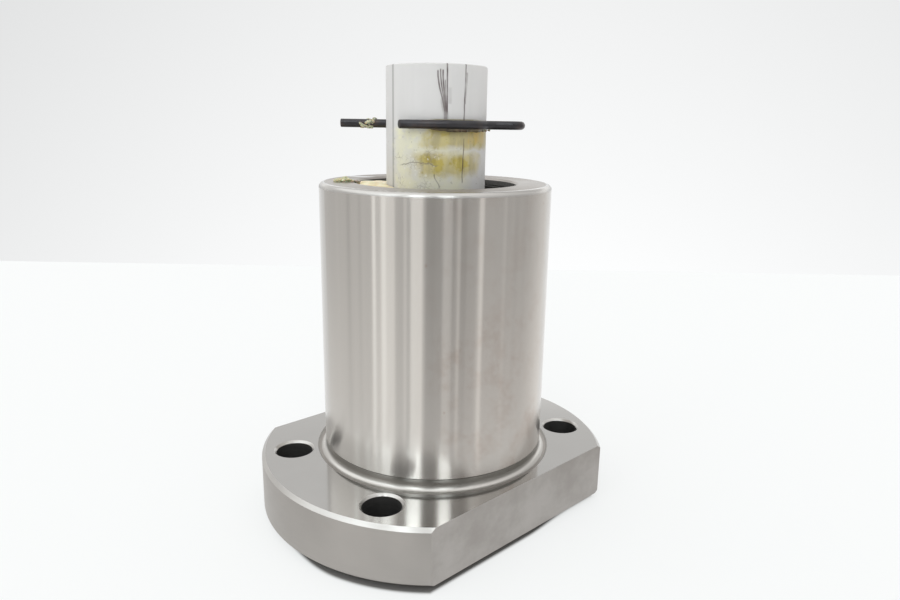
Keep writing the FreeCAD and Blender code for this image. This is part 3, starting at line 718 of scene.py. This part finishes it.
GROUND, FACED, RELIEF, EDGE, TURNED, MILLED, DRILLED_PAINTED_SHADE = range(7)
CHAMFER_REACH = 0.7 * MM
FLANGE_EDGE = 0.4 * MM
RECESS_WALL = 0.5 * MM
# Upward part of a face's normal: least of a level face, of a chamfer and of the rounded top edge, and
# most of the walls of holes and recesses; then the sideways part of a milled flat
LEVEL = 0.97
CHAMFER_LEAN = 0.3
ROUNDING_LEAN = 0.15
HOLE_LEAN = 0.2
WALL_LEAN = 0.5
SQUARE_ON = 0.99


def steel_finish(face):
    """Which finish a face of the nut body has."""
    middle = face.calc_center_median()
    radius = math.hypot(middle.x, middle.y)
    lean = face.normal.z
    hole_away = math.hypot(abs(middle.x) - BOLT_REACH, abs(middle.y) - BOLT_SPREAD)
    # Walls of bolt holes and recesses take the steel that is dark with painted shade
    if hole_away < BOLT_R + TOUCH and abs(lean) < HOLE_LEAN:
        return DRILLED_PAINTED_SHADE
    if abs(face.normal.y) > SQUARE_ON and abs(middle.y) > FLAT_Y - CLOSE:
        return MILLED
    if abs(middle.z - FLANGE_TOP) < CHAMFER_REACH and CHAMFER_LEAN < lean < LEVEL and radius > RELIEF_R:
        return EDGE
    if middle.z > NUT_TOP - SKIN and ROUNDING_LEAN < lean < LEVEL and radius > BODY_R - SKIN:
        return EDGE
    if abs(radius - RECESS_R) < CLOSE and abs(lean) < WALL_LEAN:
        return DRILLED_PAINTED_SHADE
    if radius < RECESS_R + RECESS_WALL or middle.z < FLANGE_TOP - FLANGE_EDGE:
        return TURNED
    if lean > LEVEL and min(abs(middle.z - FLANGE_TOP), abs(middle.z - NUT_TOP)) < TOUCH:
        return FACED
    if middle.z > SEAT_FOOT:
        return GROUND
    return RELIEF if radius < RELIEF_R else TURNED


def make_nut():
    """Ground, turned, milled and drilled steel body with its flange."""
    bm = merged_copy("nut_body")
    ease_edges(bm, EASED, is_outside)
    bm.normal_update()
    for face in bm.faces:
        face.material_index = steel_finish(face)
    finishes = [ground_steel(), plain_steel("faced_steel"), relief_steel(), plain_steel("edge_steel"),
                turned_steel(), milled_steel(), plain_steel("drilled_steel_painted_shade")]
    return weighted(finish_piece(bm, "steel_nut", "nut", finishes, ["nut_body"]))


def make_eased(node, name, body, material, rounding):
    """CAD piece with its sharp edges rounded."""
    bm = merged_copy(node)
    ease_edges(bm, rounding)
    return weighted(finish_piece(bm, name, body, [material], [node]))


# Increment and lacunarity of the noise that shapes the grease
FRACTAL = (1.0, 2.0)
LUMP_OCTAVES = 4
LUMP_SWELL = 0.5
LUMP_SCALE = 1.4
SEED_STEP = Vector((7.3, 3.1, 5.7))


def add_lump(bm, place, size, seed):
    """Adds a lump of grease; size is across the view, away from it and upwards."""
    made = bmesh.ops.create_icosphere(bm, subdivisions=3, radius=1.0)["verts"]
    for vert in made:
        spot = vert.co * LUMP_SCALE + seed * SEED_STEP
        swell = 1 + LUMP_SWELL * noise.fractal(spot, *FRACTAL, LUMP_OCTAVES)
        vert.co = Vector(part * scale * swell for part, scale in zip(vert.co, size))
    turn = Matrix.Rotation(FACING + math.pi / 2, 4, "Z")
    bmesh.ops.transform(bm, matrix=Matrix.Translation(place) @ turn, verts=made)


def make_lumps(name, body, material, lumps):
    """Lumps of one grease: bearing, radius in mm, height in metres, size in mm and seed of each."""
    bm = bmesh.new()
    for bearing, radius, height, size, seed in lumps:
        add_lump(bm, at_bearing(bearing, radius * MM, height), [extent * MM for extent in size], seed)
    return finish_piece(bm, name, body, [material])


BEAD_SIDES = 24
BEAD_STEPS = 60
POOL_ARC = (-22.0, -142.0)
BEAD_ARC = (-6.0, 62.0)


def spun_bead(arc):
    """Round bead of unit size about a unit radius, spun over an arc of bearings and closed."""
    bm = bmesh.new()
    ring = bmesh.ops.create_circle(bm, segments=BEAD_SIDES, radius=0.5)["verts"]
    upright = Matrix.Translation((1, 0, 0)) @ Matrix.Rotation(math.pi / 2, 4, "X")
    start = Matrix.Rotation(FACING + math.radians(arc[0]), 4, "Z")
    bmesh.ops.transform(bm, matrix=start @ upright, verts=ring)
    bmesh.ops.spin(bm, geom=bm.verts[:] + bm.edges[:], cent=(0, 0, 0), dvec=(0, 0, 0), axis=(0, 0, 1),
                   angle=math.radians(arc[1] - arc[0]), steps=BEAD_STEPS, use_merge=False)
    bmesh.ops.holes_fill(bm, edges=[edge for edge in bm.edges if edge.is_boundary], sides=0)
    return bm


def mould_bead(bm, arc, shape):
    """Moves each point of a spun bead to the radius and height that shape gives for where it lies."""
    for vert in bm.verts:
        turn = math.degrees(math.atan2(vert.co.y, vert.co.x) - FACING)
        bearing = (turn + 180) % 360 - 180
        share = (bearing - arc[0]) / (arc[1] - arc[0])
        across = 2 * (math.hypot(vert.co.x, vert.co.y) - 1)
        vert.co = at_bearing(bearing, *shape(bearing, share, across, 2 * vert.co.z))
    bmesh.ops.recalc_face_normals(bm, faces=bm.faces)


GREASE_LIFT = 0.02 * MM
SLEEVE_GAP = 0.1 * MM
POOL_RISE = 0.8 * MM
POOL_DOME = 0.5 * MM
POOL_LEAST = 0.03 * MM
POOL_NEAR_TAPER = 0.25
POOL_FAR_TAPER = 0.55
RIPPLE = 0.16 * MM
RIPPLE_SCALE = 2.6 * MM
RIPPLE_OCTAVES = 2
BEAD_LEAST = 0.05 * MM
BEAD_SIZE = 0.36 * MM
BEAD_SWELL = 0.6
BEAD_SCALE = 1.1 * MM
BEAD_OCTAVES = 3


def fullness_at(share):
    """How full a bead is at a share of its length, with nothing at its ends."""
    return max(math.sin(math.pi * min(max(share, 0), 1)), 0) ** 0.5


def pool_shape(bearing, share, across, up):
    """Domed grease between the sleeve and the recess wall, thinner and narrower towards its ends."""
    floor = RING_TOP + GREASE_LIFT
    inner = SLEEVE_R + SLEEVE_GAP
    width = RECESS_R - inner
    fullness = fullness_at(share)
    near = inner + POOL_NEAR_TAPER * width * (1 - fullness)
    far = RECESS_R - POOL_FAR_TAPER * width * (1 - fullness)
    radius = near + (far - near) * (across + 1) / 2
    dome = POOL_RISE * fullness + POOL_DOME * math.sqrt(max(1 - across * across, 0))
    spot = at_bearing(bearing, radius, floor) / RIPPLE_SCALE
    ripple = noise.fractal(spot, *FRACTAL, RIPPLE_OCTAVES) * RIPPLE
    return radius, floor + (max(fullness * (dome + ripple), POOL_LEAST) if up > 0 else 0)


def bead_shape(bearing, share, across, up):
    """Lumpy bead under the clip, thinner towards its ends."""
    radius = SLEEVE_R + SLEEVE_GAP
    height = CLIP_Z - WIRE_R
    spot = at_bearing(bearing, radius, height) / BEAD_SCALE
    swell = 1 + BEAD_SWELL * noise.fractal(spot, *FRACTAL, BEAD_OCTAVES)
    size = BEAD_LEAST + BEAD_SIZE * fullness_at(share) * swell
    return radius + size * (1 + across), height + size * up


def make_beads(cream, dark):
    """Grease in the recess round the sleeve, and wiped along the underside of the clip."""
    pool = spun_bead(POOL_ARC)
    mould_bead(pool, POOL_ARC, pool_shape)
    finish_piece(pool, "recess_grease", "nut", [cream])
    # The bead under the clip is grease dark with painted shadow
    bead = spun_bead(BEAD_ARC)
    mould_bead(bead, BEAD_ARC, bead_shape)
    finish_piece(bead, "clip_grease_bead", "sleeve", [dark])


def make_grease():
    """Old grease on the top face, in the recess and on the clip."""
    olive, mottled, cream, brown, dark = [grease(name) for name in GREASES]
    make_lumps("top_face_grease", "nut", olive, [
        (-82.0, 15.7, NUT_TOP + 0.25 * MM, (1.25, 0.85, 0.52), 1),
        (-80.0, 16.8, NUT_TOP + 0.15 * MM, (0.7, 0.6, 0.40), 2),
        (-81.0, 14.6, NUT_TOP + 0.1 * MM, (0.6, 0.5, 0.26), 3),
    ])
    make_lumps("top_face_crumbs", "nut", brown, [
        (-78.0, 13.8, NUT_TOP + 0.08 * MM, (0.45, 0.4, 0.22), 4),
        (-74.0, 13.5, NUT_TOP + 0.08 * MM, (0.35, 0.3, 0.20), 5),
        (-77.0, 14.4, NUT_TOP + 0.06 * MM, (0.3, 0.3, 0.18), 6),
    ])
    make_beads(cream, dark)
    make_lumps("clip_grease", "sleeve", mottled, [
        (-90.0, 12.4, CLIP_Z - 0.14 * MM, (1.1, 0.80, 0.74), 8),
        (-90.0, 11.3, CLIP_Z - 0.02 * MM, (0.9, 0.84, 0.80), 9),
        (-90.0, 10.6, CLIP_Z + 0.20 * MM, (0.6, 0.75, 0.62), 10),
    ])
    make_lumps("clip_crumbs", "sleeve", brown, [
        (62.0, 8.75, CLIP_Z - 0.85 * MM, (0.28, 0.25, 0.22), 11),
        (70.0, 8.75, CLIP_Z - 0.85 * MM, (0.22, 0.2, 0.2), 12),
        (82.0, 9.0, CLIP_Z - 0.80 * MM, (0.22, 0.2, 0.2), 13),
    ])


# Stage

WALL_BEHIND = 212 * MM
FLOOR_SIDE = 3.0
FLOOR_GAP = 0.05 * MM
FLOOR_WHITE = (0.922, 0.938, 0.935, 1)
FLOOR_PALE = ((0.90, 0.905, 0.91, 1), (0.92, 0.925, 0.93, 1))
FLOOR_CLOUD = (6.0, 2.0)
FLOOR_SHEEN = 0.9
FLOOR_SHINE = 0.2
WHITE_SHARE = 0.75
# Painted shadow on the floor under the nut: its colour, its edge about the nut's outline, and how far
# painted light reaches under the flange at the left and at the right, from bearing to bearing
PAINTED_SHADOW_UNDER_NUT = (0.23, 0.222, 0.215, 1)
PAINTED_SHADOW_EDGE = (-0.65 * MM, 0.30 * MM)
PAINTED_LIGHT_LEFT = (-28.0, -52.0, 0.0, 1.2 * MM)
PAINTED_LIGHT_RIGHT = (45.0, 75.0, 0.0, 0.9 * MM)
MIRRORED_FLOOR = (40 * MM, 65 * MM)


def largest(tree, *values):
    """Largest of several values."""
    result = values[0]
    for value in values[1:]:
        result = compute(tree, "MAXIMUM", result, value)
    return result


def floor_material():
    """Pale floor, white where it is open, with a painted shadow under the nut."""
    material, tree, shader, place = new_material("pale_floor")
    path = add_node(tree, "LightPath").outputs
    split = add_node(tree, "SeparateXYZ", None, {0: place})
    away = add_node(tree, "VectorMath", {"operation": "LENGTH"}, {0: place}).outputs["Value"]
    beside = compute(tree, "SUBTRACT", compute(tree, "ABSOLUTE", split.outputs["Y"]), FLAT_Y)
    outside = largest(tree, beside, compute(tree, "SUBTRACT", away, FLANGE_R))
    bearing, _ = bearing_of(tree, place)
    # Painted shadow under the nut's outline, with painted light reaching in under the flange at the left
    # and right
    painted_light_under = compute(tree, "ADD", ramp(tree, bearing, *PAINTED_LIGHT_LEFT), ramp(tree, bearing, *PAINTED_LIGHT_RIGHT))
    outside_painted_shadow = ramp(tree, compute(tree, "ADD", outside, painted_light_under), *PAINTED_SHADOW_EDGE)
    pale = blend(tree, grain(tree, place, *FLOOR_CLOUD), *FLOOR_PALE)
    set_shader(tree, shader, Base_Color=blend(tree, outside_painted_shadow, PAINTED_SHADOW_UNDER_NUT, pale))
    set_shader(tree, shader, Roughness=FLOOR_SHEEN, Specular_IOR_Level=FLOOR_SHINE)
    seen = largest(tree, path["Is Camera Ray"], path["Is Glossy Ray"], path["Is Transmission Ray"])
    white = add_node(tree, "Emission", None, {"Color": FLOOR_WHITE, "Strength": 1.0}).outputs[0]
    whitened = add_node(tree, "MixShader", None, {
        0: product(tree, seen, outside_painted_shadow, WHITE_SHARE), 1: shader.outputs[0], 2: white,
    }).outputs[0]
    # In the steel, the floor close to the nut shows and beyond it the studio's own brightness
    far = product(tree, ramp(tree, away, *MIRRORED_FLOOR), path["Is Glossy Ray"])
    clear = add_node(tree, "BsdfTransparent").outputs[0]
    shown = add_node(tree, "MixShader", None, {0: far, 1: whitened, 2: clear}).outputs[0]
    tree.links.new(shown, tree.nodes["Material Output"].inputs["Surface"])
    return material


def make_floor():
    """Plain pale floor whose back edge is the soft horizon behind the nut."""
    bm = bmesh.new()
    bmesh.ops.create_grid(bm, x_segments=1, y_segments=1, size=FLOOR_SIDE)
    shift = Matrix.Translation((WALL_BEHIND - FLOOR_SIDE, 0, -FLOOR_GAP))
    bmesh.ops.transform(bm, matrix=Matrix.Rotation(CAMERA_HEADING, 4, "Z") @ shift, verts=bm.verts)
    mesh = bpy.data.meshes.new("floor")
    bm.to_mesh(mesh)
    bm.free()
    floor = bpy.data.objects.new("floor", mesh)
    bpy.context.collection.objects.link(floor)
    mesh.materials.append(floor_material())


# What stands round the nut, later ones in front: bearing, half width, soft edge and brightness
SURROUNDINGS = (
    (-172.0, 20.0, 14.0, 0.98),
    (165.0, 12.0, 65.0, 1.08),
    (-104.0, 38.0, 6.0, 0.77),
    (-60.4, 1.3, 1.0, 1.45),
    (-55.6, 1.6, 1.2, 0.84),
    (-49.5, 2.8, 1.2, 1.36),
    (-43.0, 4.0, 1.5, 1.05),
    (-34.3, 3.2, 1.0, 0.68),
    (-28.4, 1.0, 0.8, 0.90),
    (-17.2, 5.4, 1.0, 1.06),
    (-0.6, 7.6, 1.0, 0.44),
    (11.8, 2.0, 1.2, 0.68),
    (18.8, 1.8, 0.9, 0.47),
    (22.8, 0.8, 0.6, 0.78),
    (28.0, 2.4, 1.0, 0.46),
    (36.0, 3.8, 1.2, 0.55),
    (45.4, 1.6, 0.9, 1.05),
    (71.0, 1.2, 1.0, 0.74),
    (-92.0, 1.6, 1.4, 0.66),
    (-77.0, 1.2, 1.2, 0.68),
)
# What hangs above them, in the same way
OVERHEAD = (
    (-172.0, 40.0, 14.0, 0.76),
    (172.0, 40.0, 14.0, 0.72),
    (-104.0, 38.0, 6.0, 1.50),
    (-88.0, 1.4, 1.2, 2.30),
    (-80.0, 1.6, 1.2, 1.00),
    (-72.5, 1.6, 1.2, 2.50),
    (-66.5, 1.2, 1.0, 0.90),
    (-61.0, 1.6, 1.0, 3.00),
    (-50.0, 4.5, 1.5, 3.10),
    (-42.0, 1.5, 1.5, 1.60),
    (-33.5, 4.5, 1.5, 0.70),
    (-20.5, 6.5, 2.0, 4.60),
    (-4.5, 6.0, 3.0, 0.34),
    (13.0, 5.0, 3.0, 4.40),
    (28.5, 7.0, 4.0, 0.42),
    (43.0, 1.2, 1.0, 2.00),
)
# Brightness of the studio's parts, and the rises at which each begins and is full
SIDE_LEVEL = 0.635
OVERHEAD_LEVEL = 0.93
BACK_LEVEL = 0.74
FLOOR_LEVEL = 0.90
CEILING_LEVEL = 1.28
OVERHEAD_RISE = (0.43, 0.50)
BACK_RISE = (0.30, 0.40)
FLOOR_RISE = (-0.16, -0.52)
FLOOR_SHARE = 0.45
CEILING_RISE = (0.70, 0.95)
# Where the studio's back begins to either side, how much brighter the uprights are above the horizon
# at the sides and at the back, and how they fall off from low down to the horizon
BACK_BEARING = (118.0, 132.0)
SIDE_LIFT = 1.28
BACK_LIFT = 1.65
LIFT_RISE = (-0.05, 0.12)
FALL_OFF = (-0.55, -0.05, 1.25, 0.80)
STREAK_SCALE = 0.17
STREAK_DETAIL = 3.0
STREAK_GAIN = (0.91, 1.09)
STUDIO_TINT = (1.0, 0.985, 0.965, 1)
LAMP_TINT = (0.94, 1.0, 1.02, 1)
LAMP_LEVELS = (1.0, 2.5)
# The plain backdrop: its shade at the horizon, how that changes upwards, to the side and with the square
# of the side, how far to the side it goes on changing, and where the steel shows it
BACKDROP_TINT = (0.993, 1.0, 1.002, 1)
BACKDROP_LEVEL = 0.932
BACKDROP_UPWARDS = -0.31
BACKDROP_SIDEWAYS = 0.075
BACKDROP_BEND = -0.32
BACKDROP_SIDE = 0.55
MIRRORED_BEARING = (134.0, 146.0)
MIRRORED_RISE = (0.20, 0.16)


def over(tree, level, share, brightness):
    """Level with another brightness laid over a share of it."""
    return compute(tree, "MULTIPLY_ADD", share, compute(tree, "SUBTRACT", brightness, level), level)


def panels(tree, level, bearing, listed):
    """Level with the listed panels laid over it."""
    for middle, half, soft, brightness in listed:
        level = over(tree, level, band(tree, bearing, middle, half, soft), brightness)
    return level


def studio_level(tree, bearing, turn, rise):
    """Brightness of the studio round the nut, with its bright and dark uprights."""
    streaks = add_node(tree, "TexNoise", {"noise_dimensions": "1D"}, {
        "W": bearing, "Scale": STREAK_SCALE, "Detail": STREAK_DETAIL,
    })
    lift = ramp(tree, turn, *BACK_BEARING, SIDE_LIFT, BACK_LIFT)
    level = product(tree, panels(tree, SIDE_LEVEL, bearing, SURROUNDINGS),
                    varied(tree, streaks.outputs["Fac"], *STREAK_GAIN), ramp(tree, rise, *FALL_OFF),
                    ramp(tree, rise, *LIFT_RISE, 1.0, lift))
    back = product(tree, ramp(tree, turn, *BACK_BEARING), ramp(tree, rise, *BACK_RISE))
    level = over(tree, level, back, BACK_LEVEL)
    above = panels(tree, OVERHEAD_LEVEL, bearing, OVERHEAD)
    level = over(tree, level, ramp(tree, rise, *OVERHEAD_RISE), above)
    level = over(tree, level, ramp(tree, rise, *FLOOR_RISE, 0.0, FLOOR_SHARE), FLOOR_LEVEL)
    return over(tree, level, ramp(tree, rise, *CEILING_RISE), CEILING_LEVEL)


def backdrop_shade(tree, bearing, rise):
    """Brightness of the plain backdrop."""
    aside = compute(tree, "SINE", compute(tree, "RADIANS", bearing))
    aside = compute(tree, "MINIMUM", compute(tree, "MAXIMUM", aside, -BACKDROP_SIDE), BACKDROP_SIDE)
    slope = compute(tree, "MULTIPLY_ADD", aside, BACKDROP_BEND, BACKDROP_SIDEWAYS)
    height = compute(tree, "MULTIPLY_ADD", rise, BACKDROP_UPWARDS, BACKDROP_LEVEL)
    return compute(tree, "ADD", compute(tree, "MULTIPLY", aside, slope), height)


def set_world():
    """Pale backdrop for the camera and right behind the nut, and soft studio surroundings elsewhere."""
    world = bpy.data.worlds.new("studio")
    bpy.context.scene.world = world
    world.use_nodes = True
    tree = world.node_tree
    bearing, rise = bearing_of(tree, add_node(tree, "TexCoord").outputs["Generated"])
    turn = compute(tree, "ABSOLUTE", bearing)
    level = studio_level(tree, bearing, turn, rise)
    studio = tree.nodes["Background"]
    feed(tree, studio.inputs["Color"], blend(tree, ramp(tree, level, *LAMP_LEVELS), STUDIO_TINT, LAMP_TINT))
    feed(tree, studio.inputs["Strength"], level)
    white = add_node(tree, "Background", None, {
        "Color": BACKDROP_TINT, "Strength": backdrop_shade(tree, bearing, rise),
    })
    path = add_node(tree, "LightPath").outputs
    mirrored = product(tree, ramp(tree, turn, *MIRRORED_BEARING), ramp(tree, rise, *MIRRORED_RISE),
                       path["Is Glossy Ray"])
    seen = largest(tree, path["Is Camera Ray"], mirrored, path["Is Transmission Ray"])
    mixed = add_node(tree, "MixShader", None, {0: seen, 1: studio.outputs[0], 2: white.outputs[0]})
    tree.links.new(mixed.outputs[0], tree.nodes["World Output"].inputs["Surface"])
    bpy.context.scene.view_settings.view_transform = "Standard"


def dress():
    """Every piece with its finish."""
    make_nut()
    make_eased("shipping_sleeve", "plastic_sleeve", "sleeve", sleeve_plastic(), EASED)
    make_eased("hairpin_clip", "wire_clip", "sleeve", black_wire(), EASED)
    wiper = moulded_plastic("wiper_plastic")
    deflector = moulded_plastic("deflector_plastic")
    spring = plain_steel("oiled_spring_steel")
    for end in ("top", "flange"):
        make_eased(f"{end}_wiper", f"{end}_wiper_ring", "nut", wiper, EASED_RING)
        make_eased(f"{end}_retaining_ring", f"{end}_snap_ring", "nut", spring, EASED_RING)
        make_eased(f"{end}_deflector", f"{end}_ball_deflector", "nut", deflector,
                   EASED_DEFLECTOR)
    make_grease()
    balls = plain_steel("ball_steel")
    for node in ("track_balls", "return_balls"):
        for slot in NODES[node].material_slots:
            slot.material = balls


set_camera()
set_world()
make_floor()
dress()
